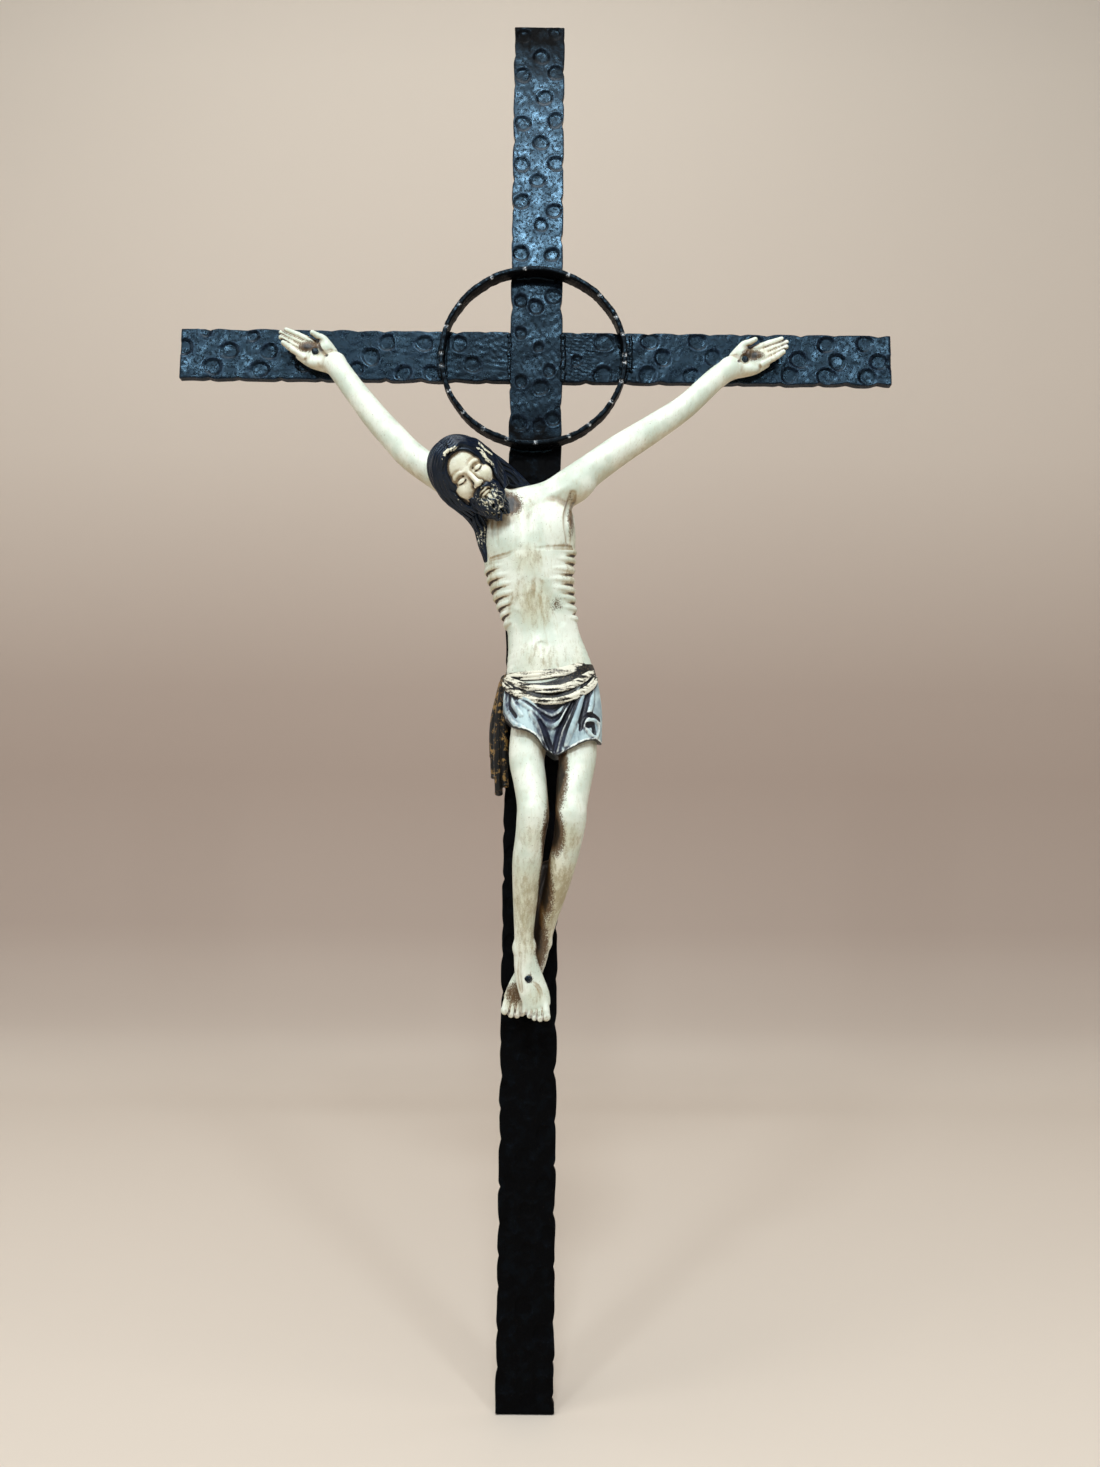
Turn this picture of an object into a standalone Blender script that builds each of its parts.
"""Wall crucifix: a cross of hammered flat iron with a hoop welded round its crossing,
carrying a carved wooden figure on three nails.

Metres, +Z up, front towards -Y. The origin is on the back face of the cross, at the
middle of the crossing.
"""

import math
import random

import bmesh
import bpy
from mathutils import Matrix, Vector

# Driving dimensions of the iron cross
BAR_WIDTH = 0.030
BAR_THICKNESS = 0.005
HEAD_LENGTH = 0.205  # middle of the crossing to the top end
FOOT_LENGTH = 0.560  # middle of the crossing to the bottom end
ARM_LENGTH = 0.2015  # middle of the crossing to each side end
CONTACT_GAP = 0.0003  # left between pieces that touch

# Hammer bites along the bars' edges
BITE_PITCH = 0.020
BITE_LENGTH = 0.012
BITE_DEPTH = 0.0010
# Least and most of each bite, as shares of the values above
BITE_START_RANGE = (0.5, 0.9)
BITE_LENGTH_RANGE = (0.7, 1.0)
BITE_DEPTH_RANGE = (0.35, 1.0)
BITE_PITCH_RANGE = (0.85, 1.25)

# Round punch marks on the bars' front faces
MARK_PITCH = 0.023
MARK_RADIUS = 0.0042
MARK_DEPTH = 0.0006
MARK_OFFSET = 0.0083  # of the outer marks from the bar's centre line
MARK_SIDES = 6
MARK_WOBBLE = MARK_RADIUS / 5
MARK_END_GAP = MARK_RADIUS * 1.6  # from the last mark's middle to the bar's end
MARK_CUTTER = 2  # how much wider the cutter is than the mark, since it starts above the face

# Hoop of flat strip set on edge on the crossing
HOOP_RADIUS = 0.053  # to its outer face
HOOP_STRIP = 0.0026
HOOP_DEPTH = 0.0080
HOOP_SHIFT = Vector((-0.0015, 0.0, -0.0025))
HOOP_STEPS = 52
HOOP_DENT = 0.00015

# Nails
NAIL_HEAD_RADIUS = 0.0021
NAIL_HEAD_HEIGHT = 0.0014
NAIL_SHANK_RADIUS = 0.0011
NAIL_SHORT_OF_BACK = 0.0008  # how far the point stays inside the bar
NAIL_SIDES = 10
NAIL_POINT_SHARE = 0.4  # of the shank's radius, at the point
# The domed head: (share of its radius, share of its height)
NAIL_DOME = [(1.0, 0.0), (0.94, 0.35), (0.7, 0.75), (0.3, 1.0)]
RECESS_HEIGHT = 5 * NAIL_HEAD_HEIGHT  # of the cutter that sinks a head into the wood
HAND_SEAT = 0.0082  # from the bars' front to the underside of a hand nail's head
FEET_SEAT = 0.0215

# Figure, crown to toes. Its tables are in carver's units, 305 to that height.
FIGURE_HEIGHT = 0.305
FIGURE_UNITS = 305.0
UNIT = FIGURE_HEIGHT / FIGURE_UNITS
VOXEL = 1.0 * UNIT
SOFTENING_STEPS = 2
SOFTENING = 0.5
KEPT_SHARE = 0.0355  # of the remeshed faces

FRONT_FACE = -BAR_THICKNESS  # y of the bars' front
SEAT_FACE = FRONT_FACE - CONTACT_GAP

# Sections of the body are (x, depth in front of the bars, z, half width, half depth).
TORSO = [
    (-6, 15.5, -91, 18, 8),
    (-4, 16, -99, 24.5, 11),
    (-3, 16.5, -109, 25.5, 13.5),
    (-2.5, 16.5, -120, 24.8, 14),
    (-1.2, 15.7, -132, 22.8, 13.3),
    (1.7, 14.6, -145, 20.6, 12),
    (4.8, 13.7, -158, 18.8, 11),
    (6.4, 13.3, -168, 19.6, 11.2),
    (8.2, 13.2, -178, 21.8, 12),
    (10, 13.8, -190, 24.2, 13.5),
    (10.8, 14.4, -202, 25.5, 14.4),
    (11.2, 15.2, -212, 25.4, 14.6),
    (11.5, 16, -219, 22.5, 13),
]
ARMS = [
    [
        (-16, 16, -97, 9.6, 9.5),
        (-32, 16.6, -88.5, 8.6, 9),
        (-48, 16, -79, 8.2, 8.4),
        (-66.6, 13.6, -65.4, 8.0, 7.8),
        (-78, 11.4, -53, 7.6, 7),
        (-88, 9.8, -41.5, 7.2, 6.6),
        (-101, 8, -24.5, 6.4, 6),
        (-112.7, 6.2, -8.1, 6.1, 5),
    ],
    [
        (6, 16, -92, 10, 9.5),
        (20.4, 16.6, -81, 9.2, 9),
        (33, 16, -71, 8.5, 8.4),
        (46, 14.6, -60.7, 8.2, 7.8),
        (57, 12.6, -52.6, 7.8, 7.2),
        (67.3, 11.2, -45.1, 7.4, 6.8),
        (83.1, 9.2, -33, 6.6, 6.2),
        (99.7, 7.2, -16.3, 6.2, 5.6),
        (109.2, 6.2, -8.6, 6.1, 5),
    ],
]
LEGS = [
    [
        (2.5, 16.7, -206, 12, 12),
        (-1, 18.7, -221, 10.2, 10.6),
        (-2.2, 21.7, -232, 9.1, 9.8),
        (-0.4, 25.7, -243, 8.5, 9),
        (1.2, 30, -255, 8, 8.5),
        (1.4, 31.5, -262, 8.2, 8.4),
        (0.2, 29.7, -272, 7.6, 8),
        (-1.2, 26.2, -284, 7.6, 8.2),
        (-1.8, 22.7, -298, 6.8, 7.4),
        (-2.4, 19.7, -312, 5.6, 6.2),
        (-2.5, 18.2, -323, 5, 5.6),
        (-1.9, 17, -333, 5.8, 5.6),
        (0.2, 17, -343, 7, 5),
        (3.4, 18, -352, 7.4, 4),
        (4.6, 18.8, -356.5, 6.8, 3.1),
    ],
    [
        (20, 16.7, -206, 12.4, 12),
        (23.5, 18.7, -221, 10.8, 10.8),
        (24, 21.7, -232, 9.7, 10),
        (22.4, 25.7, -243, 9, 9.2),
        (20.9, 30, -256, 8, 8.6),
        (20.6, 31, -263, 8, 8.2),
        (19.2, 28.2, -273, 7.4, 8),
        (16.6, 23.7, -285, 7.1, 8),
        (13, 18.2, -299, 6.4, 7.2),
        (9.2, 13.2, -313, 5.4, 6),
        (6.2, 9.7, -325, 5, 5.2),
        (3, 7, -336, 5.8, 5.6),
        (-3, 5, -347, 6.6, 4.8),
        (-7.6, 5.4, -355.5, 5.8, 3.2),
    ],
]
# Toes: foot's end (x, depth, z), toe tip (x, depth, z), radius
TOES = [
    ((8.4, 19.4, -355), (9.2, 20.8, -362.4), 2.1),
    ((5.6, 19.6, -356), (6.1, 21, -363.2), 1.6),
    ((3.1, 19.2, -356), (3.3, 20.4, -362.9), 1.5),
    ((0.7, 18.6, -355), (0.7, 19.6, -361.9), 1.45),
    ((-1.5, 17.8, -354), (-1.7, 18.6, -360.4), 1.4),
    ((-10.4, 6.6, -354), (-12.2, 7.8, -361), 2.2),
    ((-8, 6.6, -356), (-9, 7.6, -363), 1.7),
    ((-5.4, 6.2, -357), (-6, 7.2, -363.4), 1.6),
    ((-3, 5.8, -356), (-3.4, 6.6, -362.6), 1.5),
    ((-0.8, 5.2, -355), (-1, 6, -361.4), 1.4),
]

# Hands in their own frames: along the palm from the wrist, across towards the thumb,
# depth in front of the bars.
HANDS = [
    {"wrist": (-112.7, -8.1), "along": (-0.896, 0.444), "nail": (-123.1, -2.5)},
    {"wrist": (109.2, -8.6), "along": (0.924, 0.383), "nail": (116.8, -4.5)},
]
PALM = [(-1, 0, 5.6, 6.0, 4.8), (6, 0, 4.6, 7.4, 4.3), (13, 0, 4.4, 8.1, 3.9), (20, 0, 5.2, 7.2, 2.6)]
FINGERS = [
    [(18, 5.4, 5.6), (25.5, 6.0, 6.4), (31.6, 5.9, 8.2)],
    [(19, 1.9, 5.6), (27, 2.2, 6.4), (33.6, 2.2, 8.4)],
    [(19, -1.7, 5.4), (26.4, -1.7, 6.2), (32.2, -1.6, 8.0)],
    [(17.5, -5.1, 5.2), (24, -5.5, 6.0), (28.8, -5.5, 7.4)],
    [(5, 5.5, 5.6), (11.5, 9.4, 8.0), (18, 9.4, 9.6)],
]
FINGER_RADII = (2.15, 1.95, 1.6)

FEET_NAIL = (0.0, -343.4)

# Head: leaning to its right shoulder and bowed. Its parts are in the head's own frame:
# side, front, up from the middle of the skull.
HEAD_CENTRE = (-38, 32, -80)
HEAD_UP = Vector((-0.66, -0.27, 0.70)).normalized()
HEAD_FRONT = Vector((0.20, -0.93, -0.30))
HEAD_PARTS = [
    ((0, 0, 1), (16.8, 18.6, 18.4)),  # skull with its hair
    ((0, -3.5, -8), (16.6, 14, 17)),  # hair at the nape
    ((0, 4.5, -10), (12.4, 12.6, 14)),  # face
    ((0, 15.6, -6.6), (1.9, 3.4, 5.4)),  # nose
    ((0, 10, -22), (8.8, 7.6, 9.6)),  # beard
    ((-2.6, 11, -30), (3.6, 3.8, 5.4)),
    ((2.6, 11, -30), (3.6, 3.8, 5.4)),
]
NECK = [(-28, 21, -93, 10, 9.5), (-19, 18.5, -95, 9.8, 9), (-8, 16.5, -99, 11, 9)]
COLLAR = [(-16, 18, -93, 7, 7), (-4, 17.5, -92, 6.5, 7), (10, 17.5, -88, 7, 7.5), (20, 17, -85, 7, 8)]
LOCKS = [
    [(-48, 29, -83, 6, 7), (-43.5, 27, -90, 5.8, 7), (-35, 24, -97, 5, 6),
     (-28.6, 22.5, -106, 4, 5), (-26.2, 21, -116, 3.2, 4), (-24.6, 19.5, -125, 1.6, 2.4)],
    [(-30, 24, -72, 8.5, 8), (-20, 20, -75.5, 6.6, 7), (-11, 15.5, -79.5, 4.8, 6), (-3, 12, -84.5, 3.2, 5)],
]

# Rolls of hair round the face, in the head's own frame, from the parting down each side
HAIR_ROLLS = [
    [(side * 1, 17.0, 10.5, 2.0), (side * 8, 14.5, 8.0, 2.2), (side * 12.4, 11.0, 0.0, 2.4),
     (side * 12.6, 9.0, -9.0, 2.4), (side * 10, 9.5, -17.5, 2.2)]
    for side in (-1, 1)
]

# Ribs: each row (height at the flank, rise towards the breastbone), per side
RIB_PITCH = 5.1
RIB_RADIUS = 1.75
RIB_PROUD = 0.1
RIBS = [
    {"side": -1, "count": 6, "flank": -131.0, "rise": 8.5, "from": 94, "to": 22},
    {"side": 1, "count": 7, "flank": -124.0, "rise": -3.0, "from": 94, "to": 24},
]
# Chest plates: (x, depth, z) and half sizes
CHEST_PLATES = [((-13.5, 26.2, -112.5), (11.5, 5.5, 12.5)), ((9.5, 26.2, -109.5), (12.5, 5.5, 13.0))]

# Loincloth: rolled folds round the waist, the cloth over each thigh, its point between
# them and the loose end at the hip.
WAIST_ROLLS = [
    {"left": -187.5, "right": -178.0, "sag": 5.0, "radius": 2.6, "proud": 0.6},
    {"left": -188.5, "right": -183.0, "sag": 9.5, "radius": 2.1, "proud": 1.4},
    {"left": -190.5, "right": -187.0, "sag": 13.5, "radius": 2.3, "proud": 2.2},
]
ROLL_ARC = 120  # degrees to each side of the front
ROLL_STEPS = 18
SKIRT = [
    [(3, 17, -199, 13.6, 14), (-0.6, 18.6, -209, 13.2, 13.8), (-1.4, 20, -217, 11.6, 12.8)],
    [(19, 17, -199, 14, 14), (22.4, 18.6, -212, 14.2, 14), (23.8, 20.4, -223.5, 12.8, 12.8)],
    [(10, 22, -206, 9, 9), (11, 23, -219, 6.6, 7), (12.6, 22.6, -230, 2.6, 4.2)],
]
# Raised folds on the skirt as (x, z) lines, with their radius
CLOTH_FOLDS = [
    ([(-8, -196), (4, -202.5), (10.5, -206.5), (17, -203), (21, -196)], 1.3),
    ([(3.5, -206), (8, -211.5), (11.5, -213.8), (16, -209), (21.5, -199.5)], 1.4),
    ([(24.5, -195), (19, -205), (14.8, -214), (11.8, -222), (11.4, -229)], 1.6),
    ([(28.5, -194), (24, -206), (19, -217), (14.5, -228)], 1.6),
    ([(32.5, -193), (30, -203), (28, -212)], 1.8),
    ([(-13.5, -200), (-12.8, -207), (-8.5, -213.5)], 1.6),
    ([(33.5, -214), (30, -213), (32.5, -218), (34.5, -223)], 1.4),
]
LOOSE_END = [
    (-14, 12, -188, 4, 4),
    (-17.4, 8.4, -200, 4, 4.2),
    (-18.6, 5.6, -213, 4, 4),
    (-18.2, 5.0, -230, 3.9, 3.6),
    (-17.0, 4.6, -248, 3.2, 3.2),
]
SIDES = 14
DOME_ANGLES = (0.6, 1.2)  # where the rings of a rounded end lie, in radians
FOLD_LEAST_DEPTH = 8.0  # so that no fold runs behind the cloth
FOLD_SINK = 0.1  # share of a fold's radius under the surface
RIB_TAPER = 0.3
RIB_SINK = 0.6  # share of a rib's radius under the skin at its inner end
RIB_STEPS = 6


def material(name, colour, roughness, metallic=0.0):
    made = bpy.data.materials.new(name)
    made.use_nodes = True
    shader = made.node_tree.nodes["Principled BSDF"]
    shader.inputs["Base Color"].default_value = (*colour, 1.0)
    shader.inputs["Roughness"].default_value = roughness
    shader.inputs["Metallic"].default_value = metallic
    return made


def add_object(name, bm, finish=None):
    mesh = bpy.data.meshes.new(name)
    bmesh.ops.recalc_face_normals(bm, faces=bm.faces)
    bm.to_mesh(mesh)
    bm.free()
    obj = bpy.data.objects.new(name, mesh)
    bpy.context.scene.collection.objects.link(obj)
    if finish:
        mesh.materials.append(finish)
    return obj


def smooth(obj, sharpest=math.radians(40)):
    """Smooth shading, save across edges sharper than this."""
    obj.data.shade_smooth()
    obj.data.set_sharp_from_angle(angle=sharpest)
    return obj


def cut_away(target, name, bm):
    """Takes the shape in bm out of target, keeping it as a hidden cutter."""
    cutter = add_object(name, bm)
    cutter.hide_render = True
    cutter.display_type = "WIRE"
    boolean = target.modifiers.new(name, "BOOLEAN")
    boolean.operation = "DIFFERENCE"
    boolean.solver = "EXACT"
    boolean.object = cutter


def loft(bm, rings):
    """A closed skin over rings of points, each ring with as many points as the next."""
    rows = [[bm.verts.new(point) for point in ring] for ring in rings]
    for near, far in zip(rows, rows[1:]):
        for i, corner in enumerate(near):
            j = (i + 1) % len(near)
            bm.faces.new((corner, near[j], far[j], far[i]))
    bm.faces.new(rows[0])
    bm.faces.new(rows[-1])


# The iron cross


def hammered_edge(length, seed):
    """(position, bite) along one edge of a bar: shallow hammer bites, unevenly spaced."""
    dice = random.Random(seed)
    outline = [(0.0, 0.0)]
    middle = BITE_PITCH * dice.uniform(*BITE_START_RANGE)
    while middle < length - BITE_PITCH / 2:
        half = BITE_LENGTH / 2 * dice.uniform(*BITE_LENGTH_RANGE)
        bite = BITE_DEPTH * dice.uniform(*BITE_DEPTH_RANGE)
        outline += [(middle - half, 0.0), (middle, bite), (middle + half, 0.0)]
        middle += BITE_PITCH * dice.uniform(*BITE_PITCH_RANGE)
    outline.append((length, 0.0))
    return outline


def punch_marks(length, seed):
    """(along, across) of the marks: a pair near the edges, then one in the middle."""
    dice = random.Random(seed)
    marks = []
    row = MARK_PITCH / 2
    while row < length - MARK_END_GAP:
        marks += [(row, MARK_OFFSET), (row, -MARK_OFFSET)]
        middle = row + MARK_PITCH / 2
        if middle < length - MARK_END_GAP:
            marks.append((middle, 0.0))
        row += MARK_PITCH
    return [(a + dice.uniform(-MARK_WOBBLE, MARK_WOBBLE), b + dice.uniform(-MARK_WOBBLE, MARK_WOBBLE))
            for a, b in marks]


def bar_frame(start, along):
    """Maps (along, out of the front face, across) of a bar onto the cross."""
    along = Vector(along)
    out = Vector((0.0, -1.0, 0.0))
    turn = Matrix((along, out, along.cross(out))).transposed().to_4x4()
    return Matrix.Translation(Vector(start)) @ turn


def hammered_bar(name, start, along, length, seed, finish, holes):
    """A flat bar from start, with bitten edges, punch marks and a hole for each nail."""
    place = bar_frame(start, along)
    half = BAR_WIDTH / 2
    low = [(a, -half + bite) for a, bite in hammered_edge(length, seed)]
    high = [(a, half - bite) for a, bite in hammered_edge(length, seed + 1)]
    outline = low + high[::-1]
    bm = bmesh.new()
    loft(bm, [[place @ Vector((a, out, b)) for a, b in outline] for out in (0.0, BAR_THICKNESS)])
    bar = add_object(name, bm, finish)

    clear = MARK_RADIUS + NAIL_SHANK_RADIUS + CONTACT_GAP
    marks = bmesh.new()
    for a, b in punch_marks(length, seed + 2):
        middle = place @ Vector((a, BAR_THICKNESS, b))
        if any(math.hypot(middle.x - x, middle.z - z) < clear for x, z in holes):
            continue
        add_dimple(marks, middle)
    cut_away(bar, name + "_marks", marks)

    for index, (x, z) in enumerate(holes):
        hole = bmesh.new()
        rod(hole, x, z, NAIL_SHANK_RADIUS + CONTACT_GAP, BAR_THICKNESS, -2 * BAR_THICKNESS)
        cut_away(bar, f"{name}_hole_{index}", hole)
    return bar


def add_dimple(bm, middle):
    """A shallow cone that leaves one punch mark round middle, on a front face."""
    rim = MARK_RADIUS * MARK_CUTTER
    ring = [bm.verts.new(middle + Vector((rim * math.cos(t), -MARK_DEPTH, rim * math.sin(t))))
            for t in turn_angles(MARK_SIDES)]
    tip = bm.verts.new(middle + Vector((0.0, MARK_DEPTH, 0.0)))
    for i, corner in enumerate(ring):
        bm.faces.new((corner, ring[(i + 1) % len(ring)], tip))
    bm.faces.new(ring)


def turn_angles(count):
    return [2 * math.pi * i / count for i in range(count)]


def rod(bm, x, z, radius, back, front, sides=12):
    """A straight rod along Y, from y = back to y = front."""
    loft(bm, [[Vector((x + radius * math.cos(t), y, z + radius * math.sin(t)))
               for t in turn_angles(sides)] for y in (back, front)])


def make_hoop(finish):
    dice = random.Random(11)
    rings = []
    back, front = SEAT_FACE, SEAT_FACE - HOOP_DEPTH
    for t in turn_angles(HOOP_STEPS):
        outer = HOOP_RADIUS - HOOP_DENT * dice.uniform(0, 1)
        inner = HOOP_RADIUS - HOOP_STRIP + HOOP_DENT * dice.uniform(0, 1)
        way = Vector((math.cos(t), 0.0, math.sin(t)))
        rings.append([HOOP_SHIFT + way * r + Vector((0.0, y, 0.0))
                      for r, y in ((inner, back), (inner, front), (outer, front), (outer, back))])
    bm = bmesh.new()
    rows = [[bm.verts.new(point) for point in ring] for ring in rings]
    for near, far in zip(rows, rows[1:] + rows[:1]):
        for i, corner in enumerate(near):
            j = (i + 1) % len(near)
            bm.faces.new((corner, near[j], far[j], far[i]))
    return smooth(add_object("hoop", bm, finish))


def make_nail(name, x, z, seat, finish):
    """A domed nail whose head sits at seat in front of the bars and whose point is in the bar."""
    under = FRONT_FACE - seat
    point = -NAIL_SHORT_OF_BACK
    profile = [(NAIL_SHANK_RADIUS * NAIL_POINT_SHARE, point),
               (NAIL_SHANK_RADIUS, point - NAIL_SHANK_RADIUS), (NAIL_SHANK_RADIUS, under)]
    profile += [(NAIL_HEAD_RADIUS * wide, under - high * NAIL_HEAD_HEIGHT) for wide, high in NAIL_DOME]
    bm = bmesh.new()
    loft(bm, [[Vector((x + r * math.cos(t), y, z + r * math.sin(t))) for t in turn_angles(NAIL_SIDES)]
              for r, y in profile])
    return smooth(add_object(name, bm, finish))


# The carved figure


def placed(x, depth, z):
    """A point of the figure's tables, on the cross."""
    return Vector((x * UNIT, SEAT_FACE - depth * UNIT, z * UNIT))


def oval(centre, along, half_width, half_depth):
    """Points round an oval across the direction along, its depth towards the front."""
    out = Vector((0.0, -1.0, 0.0))
    out = (out - along * out.dot(along)).normalized()
    side = along.cross(out)
    return [centre + side * half_width * math.cos(t) + out * half_depth * math.sin(t)
            for t in turn_angles(SIDES)]


def limb(bm, sections):
    """A skin through the sections, with rounded ends."""
    centres = [placed(*section[:3]) for section in sections]
    sizes = [(section[3] * UNIT, section[4] * UNIT) for section in sections]
    ways = []
    for i in range(len(centres)):
        ahead = centres[min(i + 1, len(centres) - 1)]
        behind = centres[max(i - 1, 0)]
        ways.append((ahead - behind).normalized())
    rings = [oval(c, w, *s) for c, w, s in zip(centres, ways, sizes)]
    for end, sign in ((0, -1), (-1, 1)):
        reach = min(sizes[end])
        domes = [oval(centres[end] + ways[end] * sign * reach * math.sin(t), ways[end],
                      sizes[end][0] * math.cos(t), sizes[end][1] * math.cos(t))
                 for t in DOME_ANGLES]
        rings = domes[::-1] + rings if end == 0 else rings + domes
    loft(bm, rings)


def finger(bm, points, radii):
    limb(bm, [(*point, radius, radius) for point, radius in zip(points, radii)])


def hand_point(hand, along, across, depth):
    """A point of the hand's own frame, in the figure's tables."""
    way_x, way_z = hand["along"]
    thumb = Vector((-way_z, way_x)) if way_x > 0 else Vector((way_z, -way_x))
    return (hand["wrist"][0] + way_x * along + thumb.x * across, depth,
            hand["wrist"][1] + way_z * along + thumb.y * across)


def add_hand(bm, hand):
    limb(bm, [(*hand_point(hand, along, across, depth), wide, thick)
              for along, across, depth, wide, thick in PALM])
    for points in FINGERS:
        finger(bm, [hand_point(hand, *point) for point in points], FINGER_RADII)


def head_frame():
    side = HEAD_FRONT.cross(HEAD_UP).normalized()
    front = HEAD_UP.cross(side).normalized()
    turn = Matrix((side, front, HEAD_UP)).transposed().to_4x4()
    return Matrix.Translation(placed(*HEAD_CENTRE)) @ turn


def add_head(bm):
    frame = head_frame()
    for centre, sizes in HEAD_PARTS:
        place = Matrix.Translation(Vector(centre) * UNIT)
        grow = Matrix.Diagonal((*(Vector(sizes) * UNIT), 1.0))
        bmesh.ops.create_uvsphere(bm, u_segments=20, v_segments=12, radius=1.0, matrix=frame @ place @ grow)
    limb(bm, NECK)
    limb(bm, COLLAR)
    for lock in LOCKS:
        limb(bm, lock)
    for roll in HAIR_ROLLS:
        points = [frame @ (Vector(section[:3]) * UNIT) for section in roll]
        limb(bm, [(p.x / UNIT, (SEAT_FACE - p.y) / UNIT, p.z / UNIT, r, r)
                  for p, r in zip(points, (section[3] for section in roll))])


def section_at(table, z):
    """A table's section (x, depth, half width, half depth) at height z, or None beyond it."""
    for upper, lower in zip(table, table[1:]):
        if lower[2] <= z <= upper[2]:
            share = (upper[2] - z) / (upper[2] - lower[2])
            x, depth, _, wide, thick = [a + (b - a) * share for a, b in zip(upper, lower)]
            return x, depth, wide, thick
    return None


def front_depth(x, z):
    """Depth of the body's or skirt's front surface at x and z."""
    found = 0.0
    for table in [TORSO] + SKIRT:
        section = section_at(table, z)
        if section and abs(x - section[0]) < section[2]:
            bulge = math.sqrt(1 - ((x - section[0]) / section[2]) ** 2)
            found = max(found, section[1] + section[3] * bulge)
    return found


def on_torso(z, angle, proud):
    """Centre of a round bead standing proud of the torso at height z, angle from its front."""
    x, depth, wide, thick = section_at(TORSO, z)
    return x + (wide + proud) * math.sin(angle), depth + (thick + proud) * math.cos(angle), z


def add_rib(bm, side, flank, rise, start, stop):
    sections = []
    for step in range(RIB_STEPS + 1):
        share = step / RIB_STEPS
        angle = side * math.radians(start + (stop - start) * share)
        radius = RIB_RADIUS * (1 - RIB_TAPER * share)
        proud = RIB_PROUD - RIB_RADIUS * RIB_SINK * share
        sections.append((*on_torso(flank + rise * share, angle, proud), radius, radius))
    limb(bm, sections)


def add_chest(bm):
    for centre, sizes in CHEST_PLATES:
        grow = Matrix.Diagonal((*(Vector(sizes) * UNIT), 1.0))
        place = Matrix.Translation(placed(*centre)) @ grow
        bmesh.ops.create_uvsphere(bm, u_segments=18, v_segments=10, radius=1.0, matrix=place)
    for row in RIBS:
        for index in range(row["count"]):
            flank = row["flank"] - index * RIB_PITCH
            add_rib(bm, row["side"], flank, row["rise"], row["from"], row["to"])


def add_waist_roll(bm, left, right, sag, radius, proud):
    """One rolled fold round the front and sides of the waist, sagging in the middle."""
    sections = []
    for step in range(ROLL_STEPS + 1):
        share = step / ROLL_STEPS
        angle = math.radians(ROLL_ARC * (2 * share - 1))
        level = 0.5 + 0.5 * math.sin(angle)
        z = left + (right - left) * level - sag * max(0.0, math.cos(angle)) ** 2
        sections.append((*on_torso(z, angle, proud * max(0.1, math.cos(angle))), radius, radius))
    limb(bm, sections)


def add_loincloth(bm):
    for roll in WAIST_ROLLS:
        add_waist_roll(bm, **roll)
    for fold in SKIRT:
        limb(bm, fold)
    for line, radius in CLOTH_FOLDS:
        limb(bm, [(x, max(front_depth(x, z), FOLD_LEAST_DEPTH) - radius * FOLD_SINK, z, radius, radius)
                  for x, z in line])
    limb(bm, LOOSE_END)


def nail_places():
    """(name, x, z, seat) of the nails: the two hands, then the feet."""
    hands = [(hand["nail"][0] * UNIT, hand["nail"][1] * UNIT) for hand in HANDS]
    return [
        ("nail_left_hand", *hands[0], HAND_SEAT),
        ("nail_right_hand", *hands[1], HAND_SEAT),
        ("nail_feet", FEET_NAIL[0] * UNIT, FEET_NAIL[1] * UNIT, FEET_SEAT),
    ]


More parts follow.
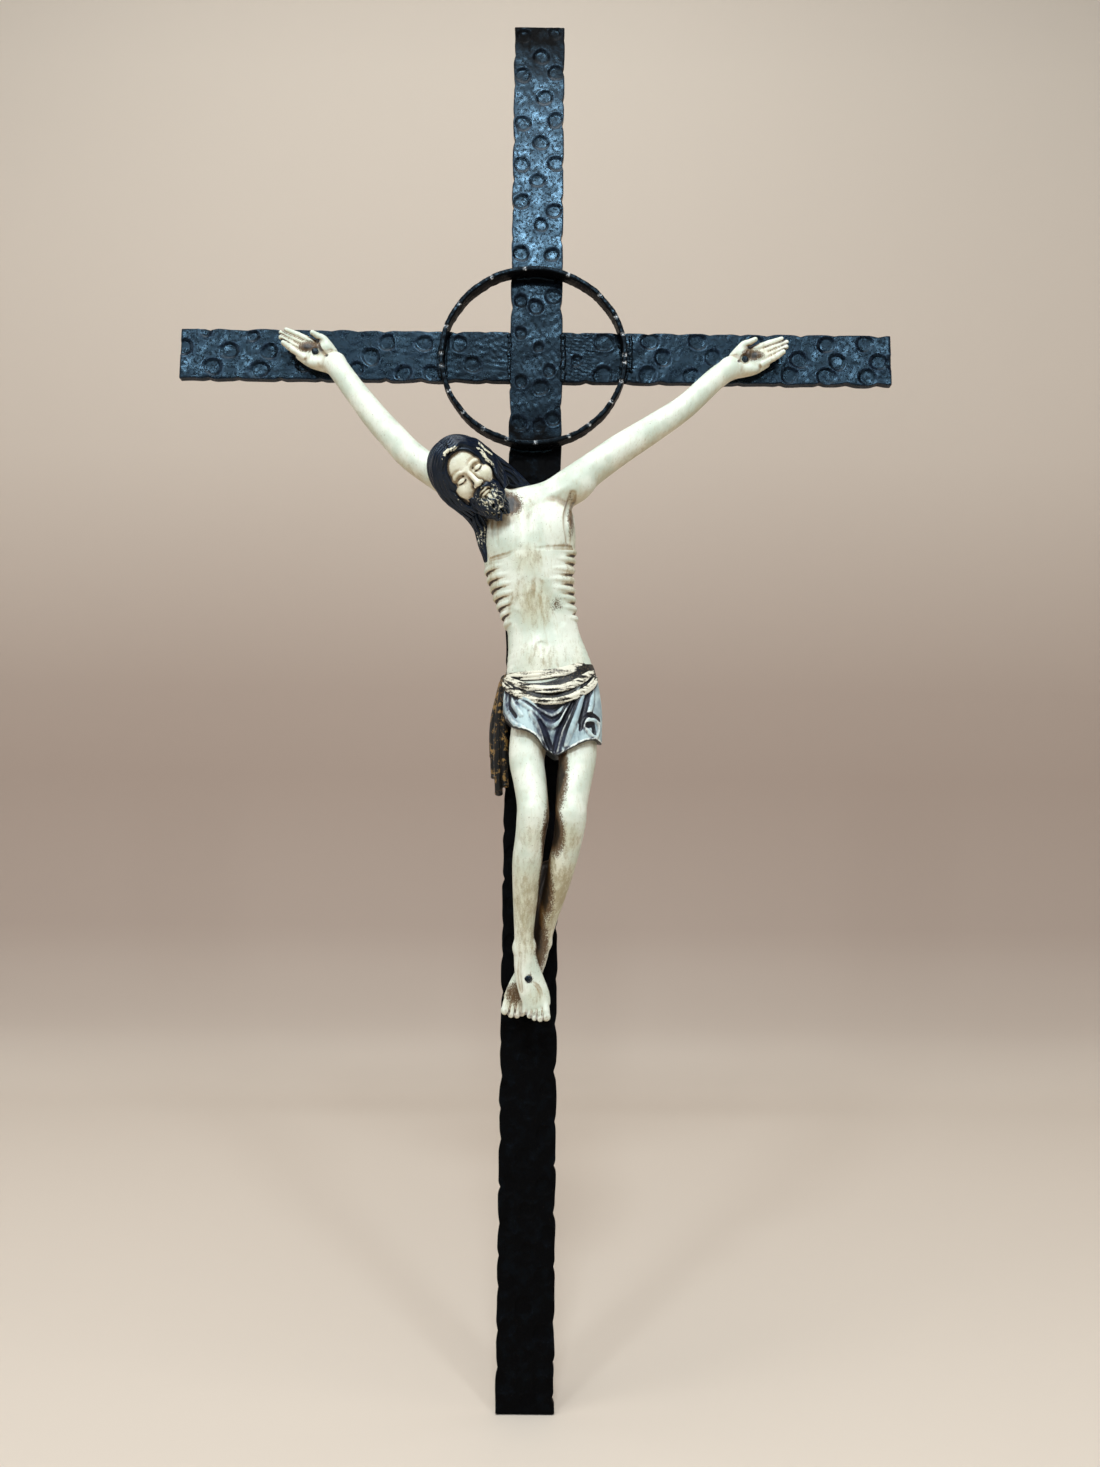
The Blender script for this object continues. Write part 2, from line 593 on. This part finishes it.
def make_figure(finish):
    bm = bmesh.new()
    limb(bm, TORSO)
    for sections in ARMS + LEGS:
        limb(bm, sections)
    for hand in HANDS:
        add_hand(bm, hand)
    for base, tip, radius in TOES:
        finger(bm, [base, tip], [radius, radius])
    add_head(bm)
    add_chest(bm)
    add_loincloth(bm)
    figure = add_object("corpus", bm, finish)

    remesh = figure.modifiers.new("one_skin", "REMESH")
    remesh.mode = "VOXEL"
    remesh.voxel_size = VOXEL
    remesh.use_smooth_shade = True
    soften = figure.modifiers.new("soften", "SMOOTH")
    soften.factor = SOFTENING
    soften.iterations = SOFTENING_STEPS
    facets = figure.modifiers.new("facets", "DECIMATE")
    facets.ratio = KEPT_SHARE

    behind = bmesh.new()
    reach = FIGURE_HEIGHT
    loft(behind, [[Vector((x, y, z)) for x, z in ((-reach, reach), (reach, reach), (reach, -2 * reach),
                                                  (-reach, -2 * reach))]
                  for y in (SEAT_FACE, SEAT_FACE + reach)])
    cut_away(figure, "back_plane", behind)
    for name, x, z, seat in nail_places():
        under = FRONT_FACE - seat
        bore = bmesh.new()
        rod(bore, x, z, NAIL_SHANK_RADIUS + CONTACT_GAP, 0.0, under - NAIL_HEAD_HEIGHT)
        cut_away(figure, name + "_bore", bore)
        recess = bmesh.new()
        rod(recess, x, z, NAIL_HEAD_RADIUS + CONTACT_GAP, under + CONTACT_GAP, under - RECESS_HEIGHT)
        cut_away(figure, name + "_recess", recess)
    return figure


def main():
    for obj in list(bpy.data.objects):
        bpy.data.objects.remove(obj)
    iron = material("blackened_iron", (0.020, 0.026, 0.038), 0.42, 0.6)
    wood = material("painted_wood", (0.72, 0.69, 0.58), 0.45)
    dark = material("nail_iron", (0.02, 0.02, 0.022), 0.4, 0.8)

    nails = nail_places()
    hand_holes = [(x, z) for _, x, z, _ in nails[:2]]
    feet_hole = nails[2][1:3]
    arm_start = BAR_WIDTH / 2 + CONTACT_GAP
    hammered_bar("upright", (0.0, 0.0, -FOOT_LENGTH), (0.0, 0.0, 1.0), FOOT_LENGTH + HEAD_LENGTH,
                 21, iron, [feet_hole])
    hammered_bar("left_arm", (-arm_start, 0.0, 0.0), (-1.0, 0.0, 0.0), ARM_LENGTH - arm_start,
                 31, iron, [hand_holes[0]])
    hammered_bar("right_arm", (arm_start, 0.0, 0.0), (1.0, 0.0, 0.0), ARM_LENGTH - arm_start,
                 41, iron, [hand_holes[1]])
    make_hoop(iron)
    for name, x, z, seat in nails:
        make_nail(name, x, z, seat, dark)
    make_figure(wood)


main()
